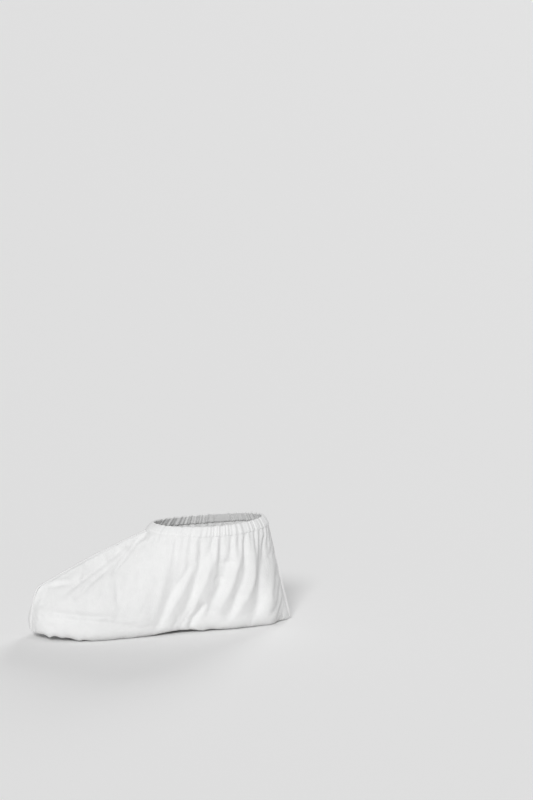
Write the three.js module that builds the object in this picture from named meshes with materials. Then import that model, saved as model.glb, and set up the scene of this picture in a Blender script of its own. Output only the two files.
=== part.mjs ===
// Disposable shoe cover: two mirrored cloth panels sewn together along the instep, toe and heel,
// gathered at the ankle into a folded hem that holds an elastic band.
// Millimetres, +Z up, toe towards -Y, sole resting on z = 0, seam plane at x = 0.
import * as THREE from "three";

// Driving dimensions of the cloth
const CLOTH = 1.4; // wall of a panel
const GAP = 0.3; // clearance kept between neighbouring pieces
const SEAM_CLEAR = 10; // folds fade out within this distance of the seam plane

// Instep ridge, from the corner above the toe to the front of the ankle opening
const TOE_CORNER = { y: -158.5, z: 62.5 };
const MOUTH_FRONT = { y: -17.5, z: 125 };
const RIDGE_BULGE = 3;
const SLOPE_LEVELS = 0.45; // share of the opening by which the cloth has levelled out beside the ridge
const THROAT_PLACE = 0.32; // share of the widest line below the front of the opening

// Ankle opening where the panels end, just below the hem
const MOUTH_BACK = { y: 138, z: 127 };
const MOUTH_HALF_WIDTH = 47;
const MOUTH_DIP = 4;

// Middle of the sole, where the two panels meet under the foot
const SOLE_FRONT = -146;
const SOLE_BACK = 146;

// Folded hem and the elastic inside it
const RIM_FRONT = { y: -8, z: 134 };
const RIM_BACK = { y: 131, z: 138 };
const RIM_HALF_WIDTH = 43;
const RIM_DIP = 3;
const HEM_CLOTH = 1;
const ELASTIC = { thick: 1.2, tall: 5 };
const ELASTIC_CLEAR = 0.35;

// Welts along the seams
const WELT = { foot: 4, crown: 2.2, height: 1.5 };
const WELT_TRIM = 0.02; // share of the seam left free below the hem
const TOE_WELT_END = 2.2; // the toe welt ends just under the toe
const HEEL_WELT_END = 0.3; // height at which the heel welt ends above the floor

// Gathers per panel: shallow in the hem, deeper below it, then fading out
const GATHERS = 14;
const HEM_RISE = 0.9;
const GATHER_RISE = 2;
const GATHER_DEPTH = 9; // distance below the hem at which the gathers are full
const GATHER_DROP = 30; // distance over which they fade
const GATHER_START = 0.1; // the front of the opening is smooth
const GATHER_FULL = 0.36;

// Mesh steps
const RIDGE_COLUMNS = 22;
const MOUTH_COLUMNS = GATHERS * 4;
const WALL_ROWS = 10;
const TURN_ROWS = 2;
const SOLE_ROWS = 1;
const HEM_COLUMNS = GATHERS * 8;
const WELT_STEPS = 26;
const PROBE = 0.004; // small share of the way, for directions

// Widest line of the cover from toe to heel, a row per section: half width there, its height, how far the
// sole edge is lifted off the floor and tucked in, how round the wall is and how far it bellies out.
const SECTIONS = [
  { at: "toe tip", y: -168.5, half: 0, girth: 17, lift: 7.5, tuck: 6, round: 1.7, belly: 0 },
  { at: "toe front", y: -167, half: 15, girth: 18, lift: 7.5, tuck: 7, round: 1.75, belly: 0 },
  { at: "toe cap", y: -161, half: 28, girth: 20, lift: 7.5, tuck: 8, round: 1.8, belly: 0 },
  { at: "toe side", y: -147, half: 40, girth: 22, lift: 6, tuck: 9, round: 1.8, belly: 0 },
  { at: "tread", y: -122, half: 50, girth: 22, lift: 2, tuck: 10, round: 1.6, belly: 0 },
  { at: "ball", y: -95, half: 54, girth: 21, lift: 0, tuck: 10, round: 1.45, belly: 0 },
  { at: "instep", y: -43, half: 51, girth: 20, lift: 0, tuck: 10, round: 1.35, belly: 1 },
  { at: "waist", y: 5, half: 46, girth: 20, lift: 3.5, tuck: 10, round: 1.25, belly: 4 },
  { at: "shank", y: 39, half: 43, girth: 20, lift: 3, tuck: 9, round: 1.1, belly: 6 },
  { at: "heel side", y: 82, half: 41, girth: 19, lift: 0, tuck: 9, round: 1, belly: 6 },
  { at: "heel turn", y: 118, half: 33, girth: 17, lift: 0, tuck: 8, round: 1, belly: 4 },
  { at: "heel back", y: 144, half: 18, girth: 12, lift: 0, tuck: 6, round: 1, belly: 1 },
  { at: "heel wedge", y: 160, half: 7, girth: 5, lift: 0, tuck: 5, round: 1, belly: 0 },
  { at: "heel point", y: 169, half: 0, girth: 1.5, lift: 0.3, tuck: 4, round: 1, belly: 0 },
];

// Long folds, a row per fold, seen from the side: ends, sideways bow, half width and rise of the crest
// (a negative rise is a valley).
const FOLDS = [
  { at: "instep crease", y0: -140, z0: 54, y1: -23, z1: 124, bow: 4, half: 7, rise: -3 },
  { at: "toe crease", y0: -127, z0: 50, y1: -85, z1: 80, bow: 0, half: 6, rise: -2 },
  { at: "throat crease", y0: -75, z0: 46, y1: -23, z1: 122, bow: 9, half: 6, rise: -2.2 },
  { at: "toe top crease", y0: -157, z0: 66, y1: -115, z1: 76, bow: 2, half: 5, rise: -1.6 },
  { at: "sole shoulder", y0: -165, z0: 33, y1: -23, z1: 19, bow: 0, half: 9, rise: 1.2 },
  { at: "waist fold", y0: -21, z0: 14, y1: 27, z1: 92, bow: 3, half: 7, rise: -2.8 },
  { at: "waist crest", y0: -3, z0: 18, y1: 41, z1: 96, bow: 4, half: 8, rise: 1.8 },
  { at: "shank fold", y0: 9, z0: 18, y1: 55, z1: 112, bow: 5, half: 8, rise: -3.2 },
  { at: "heel crest", y0: 31, z0: 20, y1: 61, z1: 104, bow: 2, half: 8, rise: 1.8 },
  { at: "side fold", y0: 47, z0: 38, y1: 70, z1: 90, bow: 0, half: 6, rise: -2.4 },
  { at: "heel fold", y0: 70, z0: 17, y1: 90, z1: 96, bow: 4, half: 7, rise: -3 },
  { at: "back crest", y0: 89, z0: 18, y1: 103, z1: 100, bow: 4, half: 8, rise: 1.8 },
  { at: "back fold", y0: 107, z0: 12, y1: 116, z1: 98, bow: 4, half: 7, rise: -2.8 },
  { at: "heel pinch", y0: 135, z0: 28, y1: 147, z1: 56, bow: 0, half: 6, rise: -1.5 },
  { at: "arch pinch", y0: 11, z0: 12, y1: 29, z1: 44, bow: 0, half: 4, rise: -1.8 },
  { at: "arch pucker", y0: 24, z0: 11, y1: 49, z1: 40, bow: 0, half: 4, rise: -1.8 },
];
const LEFT_FOLD_SHIFT = 9; // the folds of the left panel lie a little further back

const smoothstep = THREE.MathUtils.smoothstep;
const lerp = THREE.MathUtils.lerp;

// Monotone cubic through (place, value) pairs: level stretches of a table stay level.
function smoothCurve(places, values) {
  const slopes = [];
  for (let i = 0; i < places.length - 1; i += 1) {
    slopes.push((values[i + 1] - values[i]) / (places[i + 1] - places[i]));
  }
  const tangents = [slopes[0]];
  for (let i = 1; i < slopes.length; i += 1) {
    const both = slopes[i - 1] * slopes[i];
    tangents.push(both > 0 ? (2 * both) / (slopes[i - 1] + slopes[i]) : 0);
  }
  tangents.push(slopes[slopes.length - 1]);
  return (place) => {
    let k = 0;
    while (k < slopes.length - 1 && place > places[k + 1]) {
      k += 1;
    }
    const step = places[k + 1] - places[k];
    const s = THREE.MathUtils.clamp((place - places[k]) / step, 0, 1);
    const start = values[k] * (1 + 2 * s) * (1 - s) * (1 - s) + tangents[k] * step * s * (1 - s) * (1 - s);
    const end = values[k + 1] * (3 - 2 * s) * s * s - tangents[k + 1] * step * s * s * (1 - s);
    return start + end;
  };
}

// Share of the way along the widest line at which each section lies
function sectionPlaces() {
  const places = [0];
  for (let i = 1; i < SECTIONS.length; i += 1) {
    const here = SECTIONS[i];
    const before = SECTIONS[i - 1];
    places.push(places[i - 1] + Math.hypot(here.half - before.half, here.y - before.y));
  }
  return places.map((place) => place / places[places.length - 1]);
}

const PLACES = sectionPlaces();
const section = {};
for (const column of ["y", "half", "girth", "lift", "tuck", "round", "belly"]) {
  section[column] = smoothCurve(PLACES, SECTIONS.map((row) => row[column]));
}

// Share of the top edge taken by the instep ridge; the rest runs round half of the ankle opening
const RIDGE_LENGTH = Math.hypot(MOUTH_FRONT.y - TOE_CORNER.y, MOUTH_FRONT.z - TOE_CORNER.z);
const MOUTH_HALF_LENGTH = (MOUTH_BACK.y - MOUTH_FRONT.y) / 2;
const MOUTH_LENGTH = Math.PI * Math.sqrt((MOUTH_HALF_LENGTH ** 2 + MOUTH_HALF_WIDTH ** 2) / 2);
const MOUTH_AT = RIDGE_LENGTH / (RIDGE_LENGTH + MOUTH_LENGTH);

const mouthShare = (along) => Math.max(0, (along - MOUTH_AT) / (1 - MOUTH_AT));

// A point of an opening's edge, share 0 at its front, 1 at its back and 2 at its front again
function openingPoint(front, back, halfWidth, dip, share) {
  const turn = Math.PI * share;
  const level = (1 - Math.cos(turn)) / 2;
  const side = Math.sin(turn);
  return new THREE.Vector3(
    halfWidth * side,
    lerp(front.y, back.y, level),
    lerp(front.z, back.z, level) - dip * side * side,
  );
}

const mouthPoint = (share) => openingPoint(MOUTH_FRONT, MOUTH_BACK, MOUTH_HALF_WIDTH, MOUTH_DIP, share);
const rimPoint = (share) => openingPoint(RIM_FRONT, RIM_BACK, RIM_HALF_WIDTH, RIM_DIP, share);

// Top edge of a panel: the ridge, then half of the ankle opening
function topEdge(along) {
  if (along > MOUTH_AT) {
    return mouthPoint(mouthShare(along));
  }
  const share = along / MOUTH_AT;
  return new THREE.Vector3(
    0,
    lerp(TOE_CORNER.y, MOUTH_FRONT.y, share),
    lerp(TOE_CORNER.z, MOUTH_FRONT.z, share) + RIDGE_BULGE * Math.sin(Math.PI * share),
  );
}

// Slope that the top of the panel takes over from the ridge, level again beside the ankle opening
function ridgeSlope(along) {
  const slope = (MOUTH_FRONT.z - TOE_CORNER.z) / (MOUTH_FRONT.y - TOE_CORNER.y);
  return slope * (1 - smoothstep(mouthShare(along), 0, SLOPE_LEVELS));
}

// Place on the widest line below a place on the top edge: the cloth fans out from the front of the opening
// to the ball of the foot.
function placeBelow(along) {
  if (along < MOUTH_AT) {
    return (THROAT_PLACE * along) / MOUTH_AT;
  }
  return lerp(THROAT_PLACE, 1, mouthShare(along));
}

// Inner face of the right panel before folding. "along" runs from toe to heel; "down" runs 0 to 1 over the
// wall, 1 to 2 round the sole edge and 2 to 3 across the sole.
function smoothFace(along, down) {
  const top = topEdge(along);
  const place = placeBelow(along);
  const side = new THREE.Vector3(section.half(place), section.y(place), section.girth(place) + CLOTH);
  const middle = new THREE.Vector3(0, lerp(SOLE_FRONT, SOLE_BACK, place), side.z);
  const outward = side.clone().sub(middle).normalize();
  const floor = section.lift(place) + CLOTH;
  const point = new THREE.Vector3();
  if (down <= 1) {
    const quarter = (down * Math.PI) / 2;
    const power = 2 / section.round(place);
    const out = Math.sin(quarter) ** power;
    const fall = 1 - Math.max(0, Math.cos(quarter)) ** power;
    point.lerpVectors(top, side, out);
    const roof = top.z + ridgeSlope(along) * (point.y - top.y);
    point.z = lerp(roof, side.z, fall);
    point.addScaledVector(outward, section.belly(place) * Math.sin(Math.PI * fall));
  } else if (down <= 2) {
    const quarter = ((down - 1) * Math.PI) / 2;
    point.copy(side).addScaledVector(outward, -section.tuck(place) * (1 - Math.cos(quarter)));
    point.z = lerp(side.z, floor, Math.sin(quarter));
  } else {
    const edge = side.clone().addScaledVector(outward, -section.tuck(place));
    point.lerpVectors(edge, middle, down - 2);
    point.z = floor;
  }
  point.x = Math.max(0, point.x);
  return point;
}

// Outward direction of the unfolded face
function smoothNormal(along, down) {
  const before = smoothFace(Math.max(0, along - PROBE), down);
  const after = smoothFace(Math.min(1, along + PROBE), down);
  const above = smoothFace(along, Math.max(0, down - PROBE));
  const below = smoothFace(along, Math.min(3, down + PROBE));
  const normal = below.sub(above).cross(after.sub(before)).normalize();
  normal.x = Math.max(0, normal.x);
  return normal.normalize();
}

// Rise of one long fold at a point of the side view
function foldRise(fold, shift, point) {
  const run = new THREE.Vector2(fold.y1 - fold.y0, fold.z1 - fold.z0);
  const length = run.length();
  run.normalize();
  const from = new THREE.Vector2(point.y - fold.y0 - shift, point.z - fold.z0);
  const share = from.dot(run) / length;
  if (share <= 0 || share >= 1) {
    return 0;
  }
  const aside = run.cross(from) - fold.bow * 4 * share * (1 - share);
  const taper = Math.sqrt(Math.sin(Math.PI * share));
  return fold.rise * taper * Math.exp(-((aside / fold.half) ** 2));
}

// Wave of the gathers round the ankle opening, share 0 at its front, 1 at its back and 2 at its front again
function gatherWave(share) {
  const fromFront = Math.min(share, 2 - share);
  return smoothstep(fromFront, GATHER_START, GATHER_FULL) * Math.cos(2 * Math.PI * GATHERS * share);
}

// Gathers hang from the hem and fade out below it
function gatherRise(along, point) {
  const below = Math.max(0, topEdge(along).z - point.z);
  const deepest = lerp(HEM_RISE, GATHER_RISE, smoothstep(below, 0, GATHER_DEPTH));
  return deepest * Math.exp(-((below / GATHER_DROP) ** 2)) * gatherWave(mouthShare(along));
}

// Inner and outer face of the right panel with its folds
function foldedPair(along, down, shift) {
  const inner = smoothFace(along, down);
  const normal = smoothNormal(along, down);
  let rise = gatherRise(along, inner);
  if (down < 2) {
    for (const fold of FOLDS) {
      rise += foldRise(fold, shift, inner);
    }
  }
  const free = smoothstep(inner.x, 0, SEAM_CLEAR);
  inner.addScaledVector(normal, rise * free);
  const outer = inner.clone().addScaledVector(normal, CLOTH);
  inner.x += GAP / 2;
  outer.x += GAP / 2;
  outer.z = Math.max(0, outer.z);
  return { inner, outer };
}

// Places of the mesh columns along a panel and of its rows down the cloth
function steps(start, end, count) {
  return Array.from({ length: count + 1 }, (_, i) => lerp(start, end, i / count));
}

const COLUMNS = [...steps(0, MOUTH_AT, RIDGE_COLUMNS), ...steps(MOUTH_AT, 1, MOUTH_COLUMNS).slice(1)];
const ROWS = [
  ...steps(0, 1, WALL_ROWS),
  ...steps(1, 2, TURN_ROWS).slice(1),
  ...steps(2, 3, SOLE_ROWS).slice(1),
];

// Closed solid through a row of like rings; an open row of rings is capped at both ends
function loft(rings, closed) {
  const count = rings[0].length;
  const positions = rings.flat().flatMap((point) => point.toArray());
  const faces = [];
  const quad = (a, b, c, d) => faces.push(a, b, c, a, c, d);
  const spans = closed ? rings.length : rings.length - 1;
  for (let i = 0; i < spans; i += 1) {
    const here = i * count;
    const next = ((i + 1) % rings.length) * count;
    for (let k = 0; k < count; k += 1) {
      const beside = (k + 1) % count;
      quad(here + k, here + beside, next + beside, next + k);
    }
  }
  if (!closed) {
    const last = (rings.length - 1) * count;
    for (let k = 0; k < count / 2 - 1; k += 1) {
      quad(count - 1 - k, count - 2 - k, k + 1, k);
      quad(last + k, last + k + 1, last + count - 2 - k, last + count - 1 - k);
    }
  }
  const geometry = new THREE.BufferGeometry();
  geometry.setAttribute("position", new THREE.Float32BufferAttribute(positions, 3));
  geometry.setIndex(faces);
  return geometry;
}

// The same solid seen in the seam plane's mirror, with its faces turned outward again
function mirrored(geometry) {
  const copy = geometry.clone().scale(-1, 1, 1);
  const faces = copy.index;
  for (let i = 0; i < faces.count; i += 3) {
    const first = faces.getX(i);
    faces.setX(i, faces.getX(i + 1));
    faces.setX(i + 1, first);
  }
  return copy;
}

function panelGeometry(shift) {
  const rings = COLUMNS.map((along) => {
    const pairs = ROWS.map((down) => foldedPair(along, down, shift));
    const outside = pairs.map((pair) => pair.outer);
    const inside = pairs.map((pair) => pair.inner);
    return [...outside, ...inside.reverse()];
  });
  return loft(rings, false);
}

// Ring that follows the ankle opening; the section is a list of places across and up the folded hem
function hemRing(places) {
  const rings = [];
  for (let i = 0; i < HEM_COLUMNS; i += 1) {
    const share = (2 * i) / HEM_COLUMNS;
    const foot = mouthPoint(share);
    const rim = rimPoint(share);
    const run = mouthPoint(share + PROBE).sub(mouthPoint(share - PROBE)).normalize();
    const up = rim.clone().sub(foot).normalize();
    const out = run.clone().cross(up).normalize();
    const ripple = HEM_RISE * gatherWave(share);
    foot.addScaledVector(out, CLOTH / 2 + ripple).addScaledVector(up, GAP * 2);
    rings.push(
      places.map((place) => foot.clone().addScaledVector(out, place.across).addScaledVector(up, place.up)),
    );
  }
  return loft(rings, true);
}

const HEM_HALF = ELASTIC.thick / 2 + ELASTIC_CLEAR + HEM_CLOTH;
const HEM_TALL = rimPoint(0.5).distanceTo(mouthPoint(0.5));

// Upside-down U of folded cloth
function hemGeometry() {
  const slot = HEM_HALF - HEM_CLOTH;
  return hemRing([
    { across: slot, up: 0 },
    { across: slot, up: HEM_TALL - HEM_CLOTH },
    { across: -slot, up: HEM_TALL - HEM_CLOTH },
    { across: -slot, up: 0 },
    { across: -HEM_HALF, up: 0 },
    { across: -HEM_HALF, up: HEM_TALL },
    { across: HEM_HALF, up: HEM_TALL },
    { across: HEM_HALF, up: 0 },
  ]);
}

function elasticGeometry() {
  const top = HEM_TALL - HEM_CLOTH - ELASTIC_CLEAR;
  const half = ELASTIC.thick / 2;
  return hemRing([
    { across: -half, up: top - ELASTIC.tall },
    { across: -half, up: top },
    { across: half, up: top },
    { across: half, up: top - ELASTIC.tall },
  ]);
}

// Welt that follows a line of the seam plane, just clear of the panels
function weltGeometry(line) {
  const rings = line.map((point, i) => {
    const before = line[Math.max(0, i - 1)];
    const after = line[Math.min(line.length - 1, i + 1)];
    const run = after.clone().sub(before).normalize();
    const out = new THREE.Vector3(0, -run.z, run.y);
    const foot = point.clone().addScaledVector(out, CLOTH + GAP);
    const crown = foot.clone().addScaledVector(out, WELT.height);
    return [
      new THREE.Vector3(-WELT.crown / 2, crown.y, crown.z),
      new THREE.Vector3(WELT.crown / 2, crown.y, crown.z),
      new THREE.Vector3(WELT.foot / 2, foot.y, foot.z),
      new THREE.Vector3(-WELT.foot / 2, foot.y, foot.z),
    ];
  });
  return loft(rings, false);
}

function frontWeltGeometry() {
  const instep = steps(TOE_WELT_END, 0, WELT_STEPS / 2).map((down) => smoothFace(0, down));
  const ridge = steps(0, MOUTH_AT * (1 - WELT_TRIM), WELT_STEPS / 2).map((along) => topEdge(along));
  return weltGeometry([...instep, ...ridge.slice(1)]);
}

function heelWeltGeometry() {
  const line = steps(WELT_TRIM, 1, WELT_STEPS / 2).map((down) => smoothFace(1, down));
  const end = line[line.length - 1];
  const before = line[line.length - 2];
  const stretch = (end.z - HEEL_WELT_END) / (before.z - end.z);
  line.push(end.clone().addScaledVector(end.clone().sub(before), stretch));
  return weltGeometry(line);
}

// Assembly
const cloth = new THREE.MeshStandardMaterial({ name: "white_nonwoven", color: 0xf2f2f1, roughness: 0.9 });
const rubber = new THREE.MeshStandardMaterial({ name: "white_elastic", color: 0xe9e8e4, roughness: 0.7 });

function piece(name, geometry, material) {
  geometry.computeVertexNormals();
  const mesh = new THREE.Mesh(geometry, material);
  mesh.name = name;
  return mesh;
}

const cover = new THREE.Group();
cover.name = "shoe_cover";
cover.add(
  piece("right_panel", panelGeometry(0), cloth),
  piece("left_panel", mirrored(panelGeometry(LEFT_FOLD_SHIFT)), cloth),
  piece("front_seam", frontWeltGeometry(), cloth),
  piece("heel_seam", heelWeltGeometry(), cloth),
  piece("ankle_hem", hemGeometry(), cloth),
  piece("hem_elastic", elasticGeometry(), rubber),
);

export default cover;
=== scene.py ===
import math

import bmesh
import bpy
import numpy as np
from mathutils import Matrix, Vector, noise


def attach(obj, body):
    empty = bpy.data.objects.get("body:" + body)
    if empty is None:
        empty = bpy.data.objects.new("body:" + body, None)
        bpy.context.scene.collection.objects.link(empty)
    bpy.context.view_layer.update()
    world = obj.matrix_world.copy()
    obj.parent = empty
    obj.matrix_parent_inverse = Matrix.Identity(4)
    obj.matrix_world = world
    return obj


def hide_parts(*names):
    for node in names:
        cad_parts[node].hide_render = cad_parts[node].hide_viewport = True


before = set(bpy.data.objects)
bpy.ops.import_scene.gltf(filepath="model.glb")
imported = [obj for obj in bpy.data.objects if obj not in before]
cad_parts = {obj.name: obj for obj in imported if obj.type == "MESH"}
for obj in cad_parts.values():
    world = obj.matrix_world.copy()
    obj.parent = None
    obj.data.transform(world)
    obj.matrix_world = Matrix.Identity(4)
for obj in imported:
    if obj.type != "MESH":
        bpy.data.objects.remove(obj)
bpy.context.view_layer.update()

# Disposable shoe cover of soft white non-woven cloth, worn shape.
# +Z up from the floor, toe towards -Y, heel towards +Y, the side the photo shows best towards +X.
# Lengths below are in millimetres; MM turns them into metres when a mesh is made.

MM = 0.001
SEED = 27

# Sizes shared with the solids

WALL = 1.4
CLOTH = 0.6
SEAM_GAP = 0.02
SEAM_CLEAR = 10

TOE_CORNER = (-158.5, 62.5)
MOUTH_FRONT = (-17.5, 125)
MOUTH_BACK = (138, 127)
MOUTH_HALF_WIDTH = 47
MOUTH_DIP = 4
RIM_FRONT = (-8, 134)
RIM_BACK = (131, 138)
RIM_HALF_WIDTH = 43
RIM_DIP = 3
RIDGE_BULGE = 3
SLOPE_LEVELS = 0.45
THROAT_PLACE = 0.32
SOLE_FRONT = -146
SOLE_BACK = 146
PROBE = 0.004
# The foot of the toe seam keeps a sharp corner: share of the tuck left there, and how far along that reaches
TOE_CORNER_TUCK = 0.15
TOE_CORNER_SHARE = 0.09

# Cross sections from toe to heel: y of the widest line, half width, its height, lift of the sole,
# tuck under the edge, roundness of the wall and its belly
SECTIONS = (
    ("toe tip", -168.5, 0, 17, 7.5, 6, 1.7, 0),
    ("toe front", -167, 15, 18, 7.5, 7, 1.75, 0),
    ("toe cap", -161, 28, 20, 7.5, 8, 1.8, 0),
    ("toe side", -147, 40, 22, 6, 9, 1.8, 0),
    ("tread", -122, 50, 22, 2, 10, 1.6, 0),
    ("ball", -95, 54, 21, 0, 10, 1.45, 0),
    ("instep", -43, 51, 20, 0, 10, 1.35, 1),
    ("waist", 5, 46, 20, 3.5, 10, 1.25, 4),
    ("shank", 39, 43, 20, 3, 9, 1.1, 6),
    ("heel side", 82, 41, 19, 0, 9, 1, 6),
    ("heel turn", 118, 33, 17, 0, 8, 1, 4),
    ("heel back", 144, 18, 12, 0, 6, 1, 1),
    ("heel wedge", 160, 7, 5, 0, 5, 1, 0),
    ("heel point", 169, 0, 1.5, 0.3, 4, 1, 0),
)

# Folds are placed as they show from the camera, on an upright plane at the side of the ball of the foot
FOLD_PLANE = 45
FOLD_SHIFT = (0.325, -0.204)
# Soft folds of the side the photo shows, from (y, z) to (y, z): bow, half width, rise, sharpness and skew.
# A skew above 0 makes the fold's toe side gentle and its heel side steep.
RIGHT_FOLDS = (
    ("instep fold", -146, 57, -28, 134, 5, 6, -4, 1.6, 0),
    ("toe fold", -128, 55, -74, 99, 2, 5, -3, 1.5, 0),
    ("throat fold", -80, 80, -34, 134, 2.5, 4.5, -3.2, 1.5, 0),
    ("sole shoulder", -176, 43, -20, 19.5, -1.2, 6, 2.2, 2, 0),
    ("waist fold", -25, 8, 30, 97, 2, 8, -6, 1.5, 0.45),
    ("waist crest", -13, 17, 34, 106, -2.6, 4, 1.5, 2, 0),
    ("shank fold", 3, 8, 51, 120, -4.5, 8, -6.5, 1.5, 0.45),
    ("shank crest", 14, 22, 62, 124, -6, 5, 2.2, 2, 0),
    ("side fold", 42, 16, 80, 110, -2.5, 9, -5.5, 1.5, 0.45),
    ("side crest", 57, 24, 92, 118, -6.5, 4, 1.8, 2, 0),
    ("heel fold", 66, 12, 95, 116, -12, 8, -5.5, 1.5, 0.45),
    ("heel crest", 83, 22, 106, 120, -12, 4, 1.8, 2, 0),
    ("back fold", 102, 10, 118, 120, -8, 8, -5.5, 1.5, 0.45),
    ("back crest", 116, 20, 130, 112, -6, 4, 1.4, 2, 0),
    ("heel pinch", 128, 20, 146, 66, 0, 5, -2.4, 1.5, 0.3),
    ("arch pocket", 19, 8, 43, 39, 0, 4.5, -6, 1.5, 0.3),
    ("heel swell", 136, 66, 121, -4, 0, 10, 7, 2, 0),
)
# Thin creases pressed into the settled cloth of that side
RIGHT_CREASES = (
    ("toe leaf", -162, 74.5, -131, 79, 1.5, 2.4, 1.2, 1.6, 0),
    ("toe leaf foot", -168, 70, -126, 76, 0, 2.4, -1.5, 1.6, 0),
    ("toe dent", -176, 58, -168, 46, 0, 4, -1.2, 1.6, 0),
    ("shoulder edge", -168, 41.8, -60, 25.5, -1, 2.6, 1.1, 1.6, 0),
    ("shoulder hollow", -176, 38, -20, 14.5, -1.2, 4.5, -2.2, 1.6, -0.35),
    ("instep line", -146, 57, -28, 134, 5, 4, -2.8, 1.5, 0),
    ("ridge line", -122, 86, -54, 125, 2, 3, -1.2, 1.5, 0),
    ("toe line", -128, 55, -74, 99, 2, 3.4, -2.2, 1.5, 0),
    ("throat line", -80, 80, -34, 134, 2.5, 3, -2.2, 1.5, 0),
    ("side crease", -73, 78, -72, 41, 0, 2.8, -1.8, 1.4, 0),
    ("faint crease", -43, 90, -46, 57, 0, 3.5, -1, 1.6, 0),
    ("hem dent", 59, 87, 86, 86, 1, 3.6, -2.8, 1.5, 0),
    ("low dent", 54, 68, 70, 66, 1, 3.6, -2.4, 1.5, 0),
    ("shank dent", 43, 28, 60, 26, 1, 3.6, -1.8, 1.5, 0),
    ("heel dent", 80, 45, 98, 43, 1, 3.6, -1.6, 1.5, 0),
    ("arch line", 6, 6, 27, 38, 0, 2.4, -3.2, 1.4, 0),
    ("waist line", -2, 8, 8, 26, 0, 2.4, -1.6, 1.4, 0),
)
# The other side has the same sewing and its own folds
LEFT_FOLDS = (
    ("instep fold", -138, 54, -26, 132, 5, 6, -3.8, 1.6, 0),
    ("toe fold", -120, 50, -66, 98, 2, 5, -3, 1.5, 0),
    ("throat fold", -70, 74, -30, 132, 3, 4.5, -3, 1.5, 0),
    ("sole shoulder", -172, 42, -26, 20, -1.2, 6, 2.2, 2, 0),
    ("waist fold", -17, 8, 39, 99, 1, 8, -5.8, 1.5, 0.4),
    ("waist crest", -5, 17, 44, 106, -3, 4, 1.5, 2, 0),
    ("shank fold", 13, 8, 62, 118, -4, 8, -6, 1.5, 0.4),
    ("shank crest", 25, 22, 72, 122, -6, 5, 2, 2, 0),
    ("side fold", 52, 14, 87, 110, -4, 9, -5, 1.5, 0.4),
    ("heel fold", 76, 12, 104, 116, -10, 8, -5.2, 1.5, 0.4),
    ("heel crest", 92, 22, 113, 118, -10, 4, 1.8, 2, 0),
    ("back fold", 110, 10, 124, 118, -7, 8, -5, 1.5, 0.4),
    ("heel pinch", 131, 20, 147, 62, 0, 5, -2.4, 1.5, 0.3),
    ("arch pocket", 27, 10, 49, 40, 0, 5, -3.8, 1.5, 0),
    ("heel swell", 137, 64, 122, -4, 0, 10, 7, 2, 0),
)
LEFT_CREASES = (
    ("toe leaf", -154, 73, -124, 80, 1.5, 2.4, 1.2, 1.6, 0),
    ("shoulder edge", -164, 40.8, -60, 25.5, -1, 2.6, 1, 1.6, 0),
    ("shoulder hollow", -172, 37, -26, 15, -1.2, 4.5, -2, 1.6, -0.35),
    ("instep line", -138, 54, -26, 132, 5, 4, -2.6, 1.5, 0),
    ("toe line", -120, 50, -66, 98, 2, 3.4, -2, 1.5, 0),
    ("throat line", -70, 74, -30, 132, 3, 3, -2, 1.5, 0),
    ("side crease", -62, 72, -64, 38, 0, 2.8, -1.6, 1.4, 0),
    ("hem dent", 68, 90, 94, 88, 1, 3.6, -2.4, 1.5, 0),
    ("shank dent", 52, 34, 68, 31, 1, 3.6, -1.8, 1.5, 0),
    ("arch line", 14, 8, 34, 37, 0, 2.4, -2.2, 1.4, 0),
)
# Folds wander aside by a share of their half width, and their depth is uneven by another
FOLD_WANDER = 0.14
FOLD_UNEVEN = 0.2
# Loops of slack cloth that hang under the toe and the arch: y, drop and half length
SLACK_LOOPS = (
    ("front loop", -154, 3.4, 3.4),
    ("second loop", -141, 1.4, 5),
    ("third loop", -122, 1.6, 6),
    ("fourth loop", -104, 0.8, 6),
    ("arch flap", 41, 2.6, 9),
)

# Gathers under the hem: share of the way round the mouth from front to back, depth and length down the wall
GATHER_VALLEYS = (
    ("front ease", 0.15, 0.3, 12),
    ("first", 0.20, 0.45, 15),
    ("second", 0.238, 0.6, 18),
    ("third", 0.274, 0.85, 26),
    ("fourth", 0.315, 0.6, 15),
    ("fifth", 0.353, 0.9, 30),
    ("sixth", 0.407, 1, 32),
    ("seventh", 0.438, 0.6, 14),
    ("eighth", 0.467, 1.2, 28),
    ("ninth", 0.51, 1.25, 32),
    ("tenth", 0.538, 0.65, 15),
    ("eleventh", 0.566, 1.2, 30),
    ("twelfth", 0.607, 0.85, 20),
    ("thirteenth", 0.651, 1.3, 34),
    ("fourteenth", 0.685, 0.7, 17),
    ("fifteenth", 0.72, 1.1, 28),
    ("sixteenth", 0.765, 0.9, 24),
    ("seventeenth", 0.81, 1, 28),
    ("eighteenth", 0.86, 0.85, 24),
    ("nineteenth", 0.908, 0.8, 22),
    ("back ease", 0.955, 0.5, 18),
)
OTHER_SIDE_SLIP = 0.014
GATHER_HALF = 0.0135
GATHER_DEPTH = 3.4
GATHER_CREST = 0.9
# The crests between the gathers start and end at these shares of the way round, and reach this far down
CREST_START = (0.12, 0.3)
CREST_END = (0.9, 1)
CREST_REACH = 30
HEM_SHARE = 0.4
HEM_REACH = 8
RIPPLES = 47
RIPPLE_RISE = 0.5
RIPPLE_DRIFT = 0.7

# Grid of one panel
PANEL_COLUMNS = 172
WALL_ROWS = 54
TURN_ROWS = 7
SOLE_ROWS = 5
EDGE_EASE = 0.25
EDGE_ROUNDS = 8

# Settling of the cloth over what fills it
SETTLE_SCALE = 10
SETTLE_FRAMES = 24
SETTLE_GROWTH = 0.035
SETTLE_LIMIT = 3
BODY_DEPTH = 8

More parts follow.
